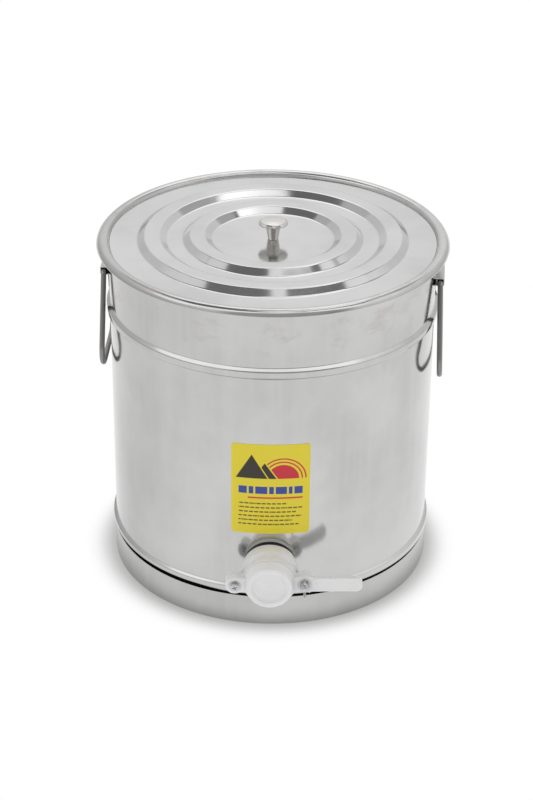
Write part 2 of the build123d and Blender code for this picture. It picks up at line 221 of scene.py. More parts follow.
def outlet_patch(profile, rows):
    """Patch from the window's edge to the outlet circle: (x, z) goes straight from the edge to the
    circle, and y = -sqrt(r(z)^2 - x^2)."""
    z_side = profile[(profile[:, 1] > low_z) & (profile[:, 1] < high_z), 1]
    a_edge = wall_a[mid - WINDOW_COLS:mid + WINDOW_COLS + 1]
    side, end = len(z_side) - 2, len(a_edge)
    edge_a = np.concatenate([a_edge, np.full(side, a_edge[-1]), a_edge[::-1], np.full(side, a_edge[0])])
    edge_z = np.concatenate([np.full(end, z_side[0]), z_side[1:-1],
                             np.full(end, z_side[-1]), z_side[-2:0:-1]])
    edge_x = np.interp(edge_z, profile[:, 1], profile[:, 0]) * np.sin(edge_a)
    phi = np.arctan2(edge_z - GATE_Z, edge_x)
    t = np.linspace(1, 0, rows)[:, None]
    x = SOCKET_R * np.cos(phi) + (edge_x - SOCKET_R * np.cos(phi)) * t
    z = GATE_Z + SOCKET_R * np.sin(phi) + (edge_z - GATE_Z - SOCKET_R * np.sin(phi)) * t
    r = np.interp(z, profile[:, 1], profile[:, 0])
    return np.stack([x, -np.sqrt(r ** 2 - x ** 2), z], axis=-1)


patch = np.concatenate([outlet_patch(outer, PATCH_ROWS), outlet_patch(inner, PATCH_ROWS)[::-1]])
tank_wall = add_piece("wall_of_tank", [wall_shell, grid_shell(patch, close_rows=False)], "tank",
                      ["tank_wall"], weld=2e-7)

# %% [markdown]
# The base ring.
# A hoop of thicker sheet carries the pot, with a foot turned in under it. It is the same kind of section
# as the wall. The wall is spot welded into it, and each weld leaves a shallow round dimple on the outside,
# so the turned surface is pushed in a little by a bell curve round each weld.

# %% Base ring
RING_SHEET, RING_TOP, FOOT, FOOT_BEND = 1.2, 36.5, 9.0, 2.5
RING_R = WALL_R + RING_SHEET
foot_path = rounded_line([(RING_R - FOOT, 0), (RING_R, 0), (RING_R, RING_TOP)], [FOOT_BEND])
hoop_z = np.linspace(2 * FOOT_BEND, RING_TOP, 18)
hoop_path = np.stack([np.full_like(hoop_z, RING_R), hoop_z], axis=-1)
ring_path = np.concatenate([foot_path[:-1], hoop_path])
ring_verts, ring_faces = turned(sheet_section(ring_path, RING_SHEET), segments=360)
WELD_Z, WELD_R, WELD_DEPTH, WELDS, FIRST_WELD = 20.0, 2.6, 0.16, 16, 0.62
FACE_DEPTH = 0.01
weld_pitch = 2 * np.pi / WELDS
ring_a = np.arctan2(ring_verts[:, 0], -ring_verts[:, 1])
from_weld = (ring_a + FIRST_WELD * weld_pitch) % weld_pitch - weld_pitch / 2
weld_distance = (from_weld * RING_R) ** 2 + (ring_verts[:, 2] - WELD_Z) ** 2
dimple = WELD_DEPTH * np.exp(-weld_distance / WELD_R ** 2)
outside = np.hypot(ring_verts[:, 0], ring_verts[:, 1]) > RING_R - FACE_DEPTH
ring_verts = ring_verts.copy()
ring_verts[:, :2] *= 1 - (dimple * outside / RING_R)[:, None]
base_ring = add_piece("hoop_of_base", [(ring_verts, ring_faces)], "tank", ["base_ring"])

# %% [markdown]
# The lid.
# The lid is pressed from one sheet: flats at one level and two raised rings between them. Its edge rests
# in the roll of the rim. Its look comes from the slopes, which mirror the studio as a fan of light and
# dark. They are cones, so a turned section with rounded bends is exact.

# %% Lid
LID_INSET, LID_GAP, SCREW_HOLE = 0.24, 0.25, 2.1
RING_RISE, RING_FLANK, RING_BENDS = 6.4, 8.6, [5, 4, 4, 5]
PRESSED_RINGS = ((115.8, 149.2), (66.5, 99.4))
LID_R = WALL_R - SHEET - LID_INSET
LID_Z = ROLL[1] + np.sqrt((ROLL_IN + LID_GAP) ** 2 - (ROLL[0] - LID_R) ** 2) + SHEET
CREST = LID_Z + RING_RISE
lid_corners = [(LID_R, LID_Z)]
for near, far in PRESSED_RINGS:
    lid_corners += [(far, LID_Z), (far - RING_FLANK, CREST), (near + RING_FLANK, CREST), (near, LID_Z)]
lid_corners += [(SCREW_HOLE, LID_Z)]
lid_path = rounded_line(lid_corners, RING_BENDS * len(PRESSED_RINGS), 9)
lid_shell = turned(sheet_section(lid_path, SHEET), segments=288)
lid_plate = add_piece("plate_of_lid", [lid_shell], "lid", ["lid"])

# %% [markdown]
# The knob.
# A small turned knob stands on the lid: a stem that widens upwards under a thin cap with a wide bevel. The
# lid mirrors it, so that it looks waisted. Its edges are broken by small arcs, since a knife edge catches
# no light and looks drawn.

# %% Knob
KNOB_BORE = 12.0
knob_corners = [(SCREW_HOLE, 0), (5.7, 0), (8.3, 16.6), (16.1, 18.0), (16.1, 19.0), (13.4, 21.3), (6.0, 22.3),
                (0.0, 22.5)]
knob_line = rounded_line(knob_corners, [0.4, 1.6, 0.4, 0.6, 2.0, 20], 9)
knob_section = np.concatenate([knob_line, [(0.0, KNOB_BORE), (SCREW_HOLE, KNOB_BORE)]]) + (0, LID_Z)
knob = add_piece("knob_of_lid", [turned(knob_section, segments=120)], "lid", ["lid_knob"])

# %% [markdown]
# Drop handles and straps.
# Each handle is a loop of round wire. A circle carried along the loop makes the wire: at each point of the
# path the circle lies across it, in the plane of the loop's own normal and the outward direction. The
# strap is a channel folded round the handle's bar, and its webs run back to the round wall, so their depth
# changes along it.

# %% Frames of the two handles
HANDLE_TURN = {1: np.radians(4.3), -1: np.radians(2.4)}
HANDLE_LEAN = {1: np.radians(2.2), -1: np.radians(0.5)}
HANDLE_REACH, HINGE_Z = 184.6, 350.5


def beside_tank(points, side):
    """Points (along the hinge, up, outwards) in the frame of a handle; side is 1 right, -1 left."""
    turn, p = HANDLE_TURN[side], np.asarray(points)
    out = side * np.array([np.cos(turn), -np.sin(turn), 0.0])
    along = side * np.array([np.sin(turn), np.cos(turn), 0.0])
    up = np.array([0.0, 0, 1])
    hinge = np.array([0, 0, HINGE_Z])
    return p[..., :1] * along + p[..., 1:2] * up + (p[..., 2:] + HANDLE_REACH) * out + hinge


# %% Handle loops
WIRE_R, TOP_HALF, LOW_HALF, DROP = 3.0, 23.8, 62.5, 102.9
TOP_BEND, LOW_BEND = 5, 20
loop_corners = [(0, 0), (TOP_HALF, 0), (LOW_HALF, -DROP), (-LOW_HALF, -DROP), (-TOP_HALF, 0), (0, 0)]
loop = rounded_line(loop_corners, [TOP_BEND, LOW_BEND, LOW_BEND, TOP_BEND], 13)[:-1]
run = np.roll(loop, -1, axis=0) - np.roll(loop, 1, axis=0)
run /= np.linalg.norm(run, axis=1, keepdims=True)
round_a = np.linspace(0, 2 * np.pi, 28, endpoint=False)
across = np.stack([run[:, 1], -run[:, 0]], axis=-1)[:, None] * (WIRE_R * np.cos(round_a))[None, :, None]
flat_wire = loop[:, None] + across
out_wire = np.broadcast_to(WIRE_R * np.sin(round_a), flat_wire.shape[:2])


def leaning_wire(lean):
    """The wire turned about the hinge: up and outwards are mixed by the cosine and sine of the lean."""
    up = flat_wire[..., 1] * np.cos(lean) + out_wire * np.sin(lean)
    out = out_wire * np.cos(lean) - flat_wire[..., 1] * np.sin(lean)
    return np.stack([flat_wire[..., 0], up, out], axis=-1)


handle_right, handle_left = [
    add_piece(f"loop_of_{body}", [grid_shell(beside_tank(leaning_wire(HANDLE_LEAN[side]), side))], body,
              [body]) for side, body in ((1, "handle_right"), (-1, "handle_left"))]

# %% Straps
STRAP_HALF, STRAP_SHEET, STRAP_BEND = 20.0, 1.2, 1.0
STRAP_FIT, STRAP_SLACK, STRAP_EDGE, EDGE_BREAK = 0.3, 0.6, 0.25, 0.2
BEHIND_WALL = -20
strap_end = np.array([STRAP_HALF - STRAP_EDGE, STRAP_HALF])
strap_x = np.concatenate([-strap_end[::-1], np.linspace(1 - STRAP_HALF, STRAP_HALF - 1, 13), strap_end])


def channel_line(reach, bend):
    """Line round the bar at every x, as (up, out): out over the bar, down past it and back to the wall."""
    top = reach + STRAP_SLACK
    corners = [(top, BEHIND_WALL), (top, reach), (-reach, reach), (-reach, BEHIND_WALL)]
    lines = np.repeat(rounded_line(corners, [bend, bend], 9)[None], len(strap_x), axis=0)
    lines[:, [0, -1], 1] = (np.sqrt(WALL_R ** 2 - strap_x ** 2) - HANDLE_REACH)[:, None]
    return lines


bar_reach = WIRE_R + STRAP_FIT
in_line = channel_line(bar_reach, STRAP_BEND)
out_line = channel_line(bar_reach + STRAP_SHEET, STRAP_BEND + STRAP_SHEET)
broken = np.zeros((len(strap_x), 1, 1))
broken[[0, -1]] = EDGE_BREAK
inwards = (in_line - out_line) * broken
channel = np.concatenate([out_line + inwards, (in_line - inwards)[:, ::-1]], axis=1)
channel_x = np.broadcast_to(strap_x[:, None, None], channel.shape[:2] + (1,))
channel = np.concatenate([channel_x, channel], axis=-1)
straps = [add_piece(f"strap_{word}", [capped_shell(beside_tank(channel, side))], "tank",
                    [f"handle_strap_{word}"]) for side, word in ((1, "right"), (-1, "left"))]

# %% [markdown]
# The gate.
# The gate is moulded plastic: a collar screwed on the outlet, a nose with a seat, and a flap that swings
# up on a screw at the left and is clamped by a wing nut at the right. Mouldings have soft edges and soft
# inside corners. The flat plates are drawn as an outline: the highest of several arcs at each x, blended
# by a smooth maximum that leaves a fillet where they meet. Loops of that outline, drawn in along the
# edge's quarter circle, give the rounded plate.

# %% Outlines and moulded plates
GATE_TURN = np.radians(1.2)
LEDGE = 0.3


def at_gate(shell):
    """Shell in the gate's frame (right, up, outwards from the tank's axis), turned to its place."""
    v, f = shell
    right = v[:, 0] * np.cos(GATE_TURN) - v[:, 1] * np.sin(GATE_TURN)
    up = v[:, 0] * np.sin(GATE_TURN) + v[:, 1] * np.cos(GATE_TURN)
    return np.stack([right, -v[:, 2], GATE_Z + up], axis=-1), f


def at_ear(shell, x):
    """Shell drawn about the gate's axis, moved sideways to an ear and set in its place."""
    v, f = shell
    return at_gate((v + np.array([x, 0, 0]), f))


def turned_at(section, x=0.0, segments=96):
    """Section (r, distance outwards) turned about a line along the gate's axis at the given x."""
    return at_ear(turned(section, segments), x)


def smooth_max(a, b, k):
    """The larger of two heights, rounded by a parabola of width k where they cross."""
    h = np.clip(0.5 + 0.5 * (a - b) / k, 0, 1)
    return b + (a - b) * h + k * h * (1 - h)


def arc_height(x, centre, radius):
    """Half the height of a circle at x, and a little below zero outside it."""
    return np.sqrt(np.maximum(radius ** 2 - (x - centre) ** 2, 0)) - HAIR * (np.abs(x - centre) > radius)


def even_steps(path, step):
    """The same line with points at equal steps along its length."""
    s = np.concatenate([[0], np.cumsum(np.linalg.norm(np.diff(path, axis=0), axis=1))])
    at = np.linspace(0, s[-1], max(int(s[-1] / step), 4))
    return np.stack([np.interp(at, s, path[:, 0]), np.interp(at, s, path[:, 1])], axis=-1)


def drawn_in(outline, distance):
    """Closed anticlockwise outline moved inwards along its normals."""
    along = np.roll(outline, -1, axis=0) - np.roll(outline, 1, axis=0)
    along /= np.maximum(np.linalg.norm(along, axis=1, keepdims=True), 1e-9)
    return outline + distance * np.stack([-along[:, 1], along[:, 0]], axis=-1)


def edge_loops(outline, low, high, edge):
    """Loops of a plate from its low face to its high one: drawn in by edge (1 - sin a), then by
    edge (1 - cos a), while the height follows the quarter circles; the first and last lie on the flats."""
    a = np.linspace(0, np.pi / 2, 6)
    inset = np.concatenate([[edge + LEDGE], edge * (1 - np.sin(a)), edge * (1 - np.cos(a)), [edge + LEDGE]])
    height = np.concatenate([[low], low + edge * (1 - np.cos(a)), high - edge * (1 - np.sin(a)), [high]])
    return [np.column_stack([drawn_in(outline, d), np.full(len(outline), z)]) for d, z in zip(inset, height)]


def moulded_plate(outline, low, high, edge):
    """Plate with rounded edges: its loops, closed by one flat face on each side."""
    return capped_shell(np.stack(edge_loops(outline, low, high, edge)))


# %% Gate body
BACK, STEP, SEAT = 189.3, 203.0, 213.3
NOSE_R, COLLAR_R, THREAD_R, BORE_R = 29.2, 31.7, 24.1, 21.0
EAR_X, EAR_BACK, WEB = 37.5, SEAT - 8.0, 8.5
PIVOT_EAR, CLAMP_EAR, EAR_BLEND, WEB_BLEND, BODY_STEP = 10, 11, 1.2, 2.0, 0.55


def with_ears(x, height):
    """Height of an outline with the round pivot ear and clamp ear blended in."""
    height = smooth_max(height, arc_height(x, -EAR_X, PIVOT_EAR), EAR_BLEND)
    return smooth_max(height, arc_height(x, EAR_X, CLAMP_EAR), EAR_BLEND)


x_body = np.linspace(-EAR_X - PIVOT_EAR, EAR_X + CLAMP_EAR, 6001)
web_height = np.where(np.abs(x_body) < EAR_X, WEB, 0.0)
body_top = smooth_max(arc_height(x_body, 0, NOSE_R), web_height, WEB_BLEND)
body_top = with_ears(x_body, np.where(np.abs(x_body) > EAR_X, 0, body_top))
body_top[[0, -1]] = 0
half_line = even_steps(np.column_stack([x_body, body_top]), BODY_STEP)
body_outline = np.concatenate([half_line * (1, -1), half_line[-2:0:-1]])
COLLAR_END, COLLAR_STEP_R = SEAT - 6, NOSE_R + 0.1
collar_corners = [(THREAD_R, BACK), (COLLAR_R, BACK), (COLLAR_R, STEP), (COLLAR_STEP_R, STEP),
                  (COLLAR_STEP_R, COLLAR_END)]
collar_line = rounded_line(collar_corners, [1.2, 1.6, 1.0], 7)
collar = np.concatenate([collar_line, [(THREAD_R, COLLAR_END)]])
print("gate outline:", len(body_outline), "points")


# %% [markdown]
# The seat is a ring round the bore, so the body's plate needs a hole as the wall did. Here the plate's two
# flat faces are rings between the outline and the bore, made by the same straight columns from an edge to
# a circle. Behind the collar a thin sleeve reaches back over the gasket, and its end follows the round
# wall at a fixed gap.

# %% Gate body with its bore
def bored_plate(outline, low, high, edge, bore, cut=0.6):
    """Moulded plate with a round hole: its loops carry on inwards to the circle on both faces and down
    the bore, whose front edge is chamfered."""
    phi = np.arctan2(outline[:, 1], outline[:, 0])
    rim = np.column_stack([np.cos(phi), np.sin(phi)])
    chamfer = [(bore + cut + LEDGE, high), (bore + cut, high), (bore, high - cut), (bore, low)]
    circles = [np.column_stack([rim * r, np.full(len(rim), z)]) for r, z in chamfer]
    return grid_shell(np.stack(edge_loops(outline, low, high, edge)[1:] + circles))


def fitted_sleeve(radius, inner, gap, front):
    """Thin tube from the given front back to the round wall, where its depth is sqrt(R^2 - x^2) + gap."""
    phi = full_turn(144)

    def loop_at(r, by_wall):
        """Circle of radius r, at the front or with its depth following the wall."""
        depth = np.sqrt(WALL_R ** 2 - (r * np.cos(phi)) ** 2) + gap if by_wall else np.full_like(phi, front)
        return np.column_stack([r * np.cos(phi), r * np.sin(phi), depth])

    corners = ((radius, False), (radius, True), (inner, True), (inner, False))
    return at_gate(grid_shell(np.stack([loop_at(*corner) for corner in corners])))


seat_plate = at_gate(bored_plate(body_outline, EAR_BACK, SEAT, edge=0.9, bore=BORE_R))
sleeve = fitted_sleeve(NOSE_R, inner=28.65, gap=3.2, front=BACK + 0.4)
gate_body = add_piece("body_of_gate", [seat_plate, turned_at(collar), sleeve], "tank",
                      ["gate_body"])

# %% [markdown]
# The flap.
# Its plate has the same ears, a slot that lets go of the clamp bolt when the lever is lifted, and the
# lever itself. The slot is an arc about the pivot, so that it stays clear of the bolt all the way. The
# corners of its mouth are rounded, because loops drawn in from a sharp corner would cross each other and
# spoil the flat faces. A tapered disc with a dished face is turned on top.

# %% Outline of the flap
FLAP, PLATE, TIP = 213.5, 5.5, 99.5
TIP_HALF, TIP_ROUND, LEVER_BLEND = 1.8, 6.5, 1.6
x_flap = np.linspace(-EAR_X - PIVOT_EAR, TIP, 12001)
lever = TIP_HALF + np.sqrt(TIP_ROUND ** 2 - np.maximum(x_flap - TIP + TIP_ROUND, 0) ** 2)
lever = np.where(x_flap < EAR_X, 0, lever)
flap_top = with_ears(x_flap, np.where(np.abs(x_flap) < EAR_X, WEB, 0))
flap_top = smooth_max(flap_top, lever, LEVER_BLEND)
flap_top[[0, -1]] = 0, TIP_HALF
upper = np.column_stack([x_flap, flap_top])
lower = upper * (1, -1)

# %% Slot of the flap
SLOT, SWING, SLOT_LOW = 3.6, 2 * EAR_X, -13
MOUTH_ROUND, MOUTH_CUT = 1.6, 3.4


def slot_side(radius):
    """Side of the slot, from the plate's lower edge up: the arc x = sqrt(radius^2 - y^2) about the pivot."""
    y = np.linspace(SLOT_LOW, 0, 60)
    side = np.column_stack([np.sqrt(radius ** 2 - y ** 2) - EAR_X, y])
    return side[y > np.interp(side[0, 0], x_flap, -flap_top)]


def mouth_corner(before, after):
    """Arc between two lines that meet at a corner of the slot's mouth; both are cut back from it first."""
    corner = (before[-1] + after[0]) / 2
    before = before[np.linalg.norm(before - corner, axis=1) > MOUTH_CUT]
    after = after[np.linalg.norm(after - corner, axis=1) > MOUTH_CUT]
    arc = rounded_line([before[-1], corner, after[0]], [MOUTH_ROUND], 7)[1:-1]
    return before, arc, after


slot_left, slot_right = slot_side(SWING - SLOT), slot_side(SWING + SLOT)
slot_top = np.array([EAR_X, 0]) + on_circle(SLOT, np.linspace(np.pi, 0, 16))
left_edge, left_arc, slot_left = mouth_corner(lower[x_flap < slot_left[0, 0]], slot_left)
slot_right, right_arc, right_edge = mouth_corner(slot_right[::-1], lower[x_flap > slot_right[0, 0]])
FLAP_STEP = 0.6
flap_outline = np.concatenate([
    even_steps(left_edge, FLAP_STEP), left_arc, even_steps(slot_left, FLAP_STEP), slot_top[1:-1],
    even_steps(slot_right, FLAP_STEP), right_arc, even_steps(right_edge, FLAP_STEP),
    even_steps(upper[::-1], FLAP_STEP)[:-1]])
print("flap outline:", len(flap_outline), "points")

# %% Gate flap
DISC_TOP, DISH, DIMPLE = FLAP + 11.7, FLAP + 9.1, FLAP + 9.4
disc_corners = [(0, FLAP), (28.4, FLAP), (24.2, DISC_TOP), (19.8, DISC_TOP), (18.2, DISH), (1.9, DISH),
                (1.2, DIMPLE), (0, DIMPLE)]
disc_line = rounded_line(disc_corners, [0.6, 1.5, 1.0, 1.6, 0.3, 0.3], 9)
flap_plate = at_gate(moulded_plate(flap_outline, FLAP, FLAP + PLATE, edge=0.8))
gate_flap = add_piece("flap_of_gate", [flap_plate, turned_at(disc_line, segments=144)], "gate_flap",
                      ["gate_flap"])

# %% [markdown]
# Fasteners.
# The pivot is a pan-head screw with a cross recess. Its head is a height over a round grid: a dome, less
# the depth of the cross where a point lies in either arm. A thread is a turned surface whose radius
# follows a wave along a helix, so that one formula gives the ridges and their pitch.

# %% Washers, screw heads and threads
ARM_HALF, ARM_REACH, ARM_DEPTH, CROSS_TURN = 0.62, 2.6, 1.5, 0.35
SIDE_SLOPE, END_SLOPE = 0.25, 0.5
ROD_SIDES, TAPER_LENGTH, TAPER_DEPTH = 48, 0.8, 0.5


def washer(radius, hole, low, thick, x, broken_edge=0.15):
    """Flat ring with slightly broken edges, turned about a line at x."""
    b, high = broken_edge, low + thick
    ring = [(hole, low), (radius - b, low), (radius, low + b), (radius, high - b), (radius - b, high),
            (hole + b, high), (hole, high - b)]
    return turned_at(np.array(ring), x, segments=64)


def cross_arm(along, beside):
    """1 inside an arm of the cross and 0 outside it, with sloping sides."""
    from_side = np.clip((ARM_HALF - np.abs(beside)) / SIDE_SLOPE, 0, 1)
    return from_side * np.clip((ARM_REACH - np.abs(along)) / END_SLOPE, 0, 1)


def cross_head(radius, low, height, x):
    """Pan head: over (r, a) the height is a rounded rim and a low dome, less a cross recess."""
    s = np.linspace(0, 1, 46)
    r = radius * (1 - (1 - s) ** 1.15)
    dome = height * (0.62 + 0.38 * np.sqrt(np.maximum(1 - (r / radius) ** 4, 0)))
    a = full_turn(128)
    px, py = r[:, None] * np.sin(a), -r[:, None] * np.cos(a)
    cx = px * np.cos(CROSS_TURN) + py * np.sin(CROSS_TURN)
    cy = py * np.cos(CROSS_TURN) - px * np.sin(CROSS_TURN)
    recess = ARM_DEPTH * np.maximum(cross_arm(cy, cx), cross_arm(cx, cy))
    top = np.stack([px, py, low + dome[:, None] - recess], axis=-1)
    base = about_axis(np.array([[radius], [0]]), a, low)
    return at_ear(grid_shell(np.concatenate([top, base]), close_rows=False), x)


def threaded_rod(radius, low, high, pitch, depth, x):
    """Rod whose radius falls by the depth in a wave of the given pitch that climbs once round per turn."""
    h = np.linspace(low, high, int((high - low) / pitch * 10))[:, None]
    a = full_turn(ROD_SIDES)[None, :]
    taper = TAPER_DEPTH * (1 - np.clip((high - h) / TAPER_LENGTH, 0, 1))
    wave = np.abs(((h / pitch - a / (2 * np.pi)) % 1) * 2 - 1)
    r = radius - depth * wave - taper
    rings = [about_axis(np.zeros((1, 1)), a, low), about_axis(r, a, h), about_axis(np.zeros((1, 1)), a, high)]
    return at_ear(grid_shell(np.concatenate(rings), close_rows=False), x)


# %% Pivot screw and its washer
FRONT = FLAP + PLATE + 0.2
PIVOT_WASHER = 1.0
PIVOT_HEAD = FRONT + PIVOT_WASHER
screw_head = cross_head(radius=4.7, low=PIVOT_HEAD, height=3.0, x=-EAR_X)
screw_rod = threaded_rod(2.5, EAR_BACK - 6.9, PIVOT_HEAD, pitch=0.8, depth=0.3, x=-EAR_X)
pivot_screw = add_piece("screw_of_pivot", [screw_head, screw_rod], "tank", ["pivot_screw"],
                        sharp=40)
pivot_washer = add_piece("washer_of_pivot", [washer(6.2, 2.5, FRONT, PIVOT_WASHER, -EAR_X)], "tank",
                         ["pivot_washer"])

# %% Clamp bolt, washer and wing nut
CLAMP_WASHER, BOLT_FLATS, BOLT_HEAD = 1.2, 10, 4
NUT = FRONT + CLAMP_WASHER + 0.1
hex_corners = on_circle(BOLT_FLATS / np.sqrt(3), np.radians(np.arange(0, 361, 60)))
bolt_head = moulded_plate(even_steps(hex_corners, 0.5)[:-1], EAR_BACK - BOLT_HEAD, EAR_BACK, edge=0.25)
bolt_rod = threaded_rod(3.0, EAR_BACK, NUT + 8.5, pitch=1.0, depth=0.4, x=EAR_X)
clamp_bolt = add_piece("bolt_of_clamp", [bolt_rod, at_ear(bolt_head, EAR_X)], "tank",
                       ["clamp_bolt"], sharp=40)
clamp_washer = add_piece("washer_of_clamp", [washer(7.0, 3.2, FRONT, CLAMP_WASHER, EAR_X)], "clamp_washer",
                         ["clamp_washer"])
NUT_TOP, NUT_BORE = NUT + 6.5, 3.1
hub = rounded_line([(NUT_BORE, NUT), (5.6, NUT), (4.4, NUT_TOP), (NUT_BORE, NUT_TOP)], [0.4, 1.0], 7)
wing_corners = [(3.5, 1.6), (5.4, 1.6), (11.5, 3.3), (11.5, 9.5), (8.0, 9.5), (4.2, 5.9), (2.2, 5.9),
                (2.2, 1.6), (3.5, 1.6)]
wing_line = even_steps(rounded_line(wing_corners, [2.0, 2.0, 2.2, 1.2, 1.5, 1.0, 1.0], 9), 0.3)[:-1]
wing_v, wing_f = moulded_plate(wing_line, -1.2, 1.2, edge=0.55)


def wing(side):
    """Wing stood up on the nut: its thickness lies across, its reach up or down and its rise outwards."""
    v = np.stack([EAR_X + side * wing_v[:, 2], side * wing_v[:, 0], NUT + wing_v[:, 1]], axis=-1)
    return at_gate((v, wing_f))


wing_nut = add_piece("nut_with_wings", [turned_at(hub, EAR_X, segments=48), wing(1), wing(-1)], "wing_nut",
                     ["wing_nut"])

# %% [markdown]
# The label.
# A printed film is rolled on to the wall. It is a patch of the same cylinder a quarter of a millimetre
# further out, with rounded corners: each column's height shrinks near the sides by the corner's arc. A map
# from the surface to a flat sheet, its UV map, carries the print.

# %% Label
LABEL_W, LABEL_H, LABEL_LOW, LABEL_CORNER = 85.0, 110.5, 118.0, 4.0
FILM, FILM_EDGE, FILM_ROWS = 0.25, 0.02, 40
u = np.concatenate([np.linspace(0, LABEL_CORNER, 14)[:-1],
                    np.linspace(LABEL_CORNER, LABEL_W - LABEL_CORNER, 48),
                    np.linspace(LABEL_W - LABEL_CORNER, LABEL_W, 14)[1:]]) - LABEL_W / 2
into_corner = np.maximum(np.abs(u) - (LABEL_W / 2 - LABEL_CORNER), 0)
label_half = LABEL_H / 2 - LABEL_CORNER + np.sqrt(LABEL_CORNER ** 2 - into_corner ** 2)
v = np.concatenate([[-1], np.linspace(-1, 1, FILM_ROWS), [1]])
film = np.concatenate([[FILM_EDGE], np.full(FILM_ROWS, FILM), [FILM_EDGE]])
film = np.where((np.abs(u) > LABEL_W / 2 - HAIR)[None, :], FILM_EDGE, film[:, None])
label_a = u[None, :] / WALL_R
label_points = about_axis(WALL_R + film, label_a, LABEL_LOW + LABEL_H / 2 + v[:, None] * label_half[None, :])
label_shell = grid_shell(label_points, close_rows=False, close_cols=False)
label = add_piece("printed_label", [label_shell], "tank", ["label"])
co = np.empty(len(label.data.vertices) * 3)
label.data.vertices.foreach_get("co", co)
co = co.reshape(-1, 3) / MM
corner_vert = np.empty(len(label.data.loops), dtype=np.int32)
label.data.loops.foreach_get("vertex_index", corner_vert)
sheet_x = np.arctan2(co[:, 0], -co[:, 1]) * WALL_R / LABEL_W + 0.5
flat = np.stack([sheet_x, (co[:, 2] - LABEL_LOW) / LABEL_H], axis=-1)
label.data.uv_layers.new(name="sheet").data.foreach_set("uv", flat[corner_vert].ravel().astype(np.float32))
print("label spans", flat.min(0).round(3), flat.max(0).round(3))

# %% [markdown]
# Materials as node trees.
# A finish is a shader with a few patterns feeding it. Small helpers keep the trees readable: one feeds a
# number or another node's output to a socket, and the others each add one kind of node. Patterns read
# Object coordinates, which are the tank's own metres, so that they stay put when a piece moves.

# %% Node helpers
EVENLY = (1, 1, 1)


def new_material(name):
    """Empty node material with its principled shader."""
    mat = bpy.data.materials.new(name)
    mat.use_nodes = True
    return mat, mat.node_tree, mat.node_tree.nodes["Principled BSDF"]


def feed(tree, sockets, values):
    """Gives each socket its value: an output is linked, and a number or colour is set."""
    for socket, value in zip(sockets, values):
        if isinstance(value, bpy.types.NodeSocket):
            tree.links.new(value, socket)
        else:
            socket.default_value = value


def calc(tree, operation, a, b=0.0, c=0.0):
    """One step of arithmetic on sockets or numbers."""
    n = tree.nodes.new("ShaderNodeMath")
    n.operation = operation
    feed(tree, n.inputs, (a, b, c))
    return n.outputs[0]


def blend(tree, amount, a, b):
    """Colour a where amount is 0 and b where it is 1."""
    n = tree.nodes.new("ShaderNodeMix")
    n.data_type = "RGBA"
    feed(tree, (n.inputs[0], n.inputs[6], n.inputs[7]), (amount, a, b))
    return n.outputs[2]


def ramp(tree, value, low, high, to_low=0.0, to_high=1.0):
    """Smooth step of a value from one range to another."""
    n = tree.nodes.new("ShaderNodeMapRange")
    n.interpolation_type = "SMOOTHSTEP"
    feed(tree, n.inputs, (value, low, high, to_low, to_high))
    return n.outputs[0]


def scaled_place(tree, scale):
    """Object coordinates stretched by three factors."""
    place = tree.nodes.new("ShaderNodeTexCoord").outputs["Object"]
    m = tree.nodes.new("ShaderNodeMapping")
    m.inputs["Scale"].default_value = scale
    tree.links.new(place, m.inputs["Vector"])
    return m.outputs[0]


def split_place(tree, place):
    """The three coordinates of a place."""
    n = tree.nodes.new("ShaderNodeSeparateXYZ")
    tree.links.new(place, n.inputs[0])
    return n.outputs


def noise(tree, vector, scale, detail=3.0, rough=0.5):
    """Cloudy pattern from 0 to 1."""
    n = tree.nodes.new("ShaderNodeTexNoise")
    names = ("Vector", "Scale", "Detail", "Roughness")
    feed(tree, [n.inputs[name] for name in names], (vector, scale, detail, rough))
    return n.outputs[0]


def bump(tree, shader, height, strength, distance):
    """Fine relief from a height pattern."""
    n = tree.nodes.new("ShaderNodeBump")
    feed(tree, [n.inputs[name] for name in ("Strength", "Distance", "Height")], (strength, distance, height))
    tree.links.new(n.outputs[0], shader.inputs["Normal"])


def finish(tree, shader, tone, roughness):
    """Wires a colour pattern and a roughness pattern to the shader."""
    tree.links.new(tone, shader.inputs["Base Color"])
    tree.links.new(roughness, shader.inputs["Roughness"])


# %% [markdown]
# Polished steel.
# Stainless sheet takes a bright, slightly milky polish. It is a metal shader with low roughness, and its
# life comes from small faults: cloudy patches where the polish is thinner and fine streaks up the wall.
# The wall has painted shade on its left, where its tone is scaled darker, and it is smudged with a warmer
# tint above the rib. Its inside is left satin with a lighter tone, which is painted light for the light lost
# between bounces inside the closed tank, and its neck above the base ring is dull and painted near black,
# as painted shade in the gap behind the ring. Inside and neck are told from the outside by their distance
# from the axis.

# %% Steel sheet
def shade_of(colour, factor):
    """The colour made lighter or darker, with its alpha."""
    return tuple(min(c * factor, 1) for c in colour) + (1,)


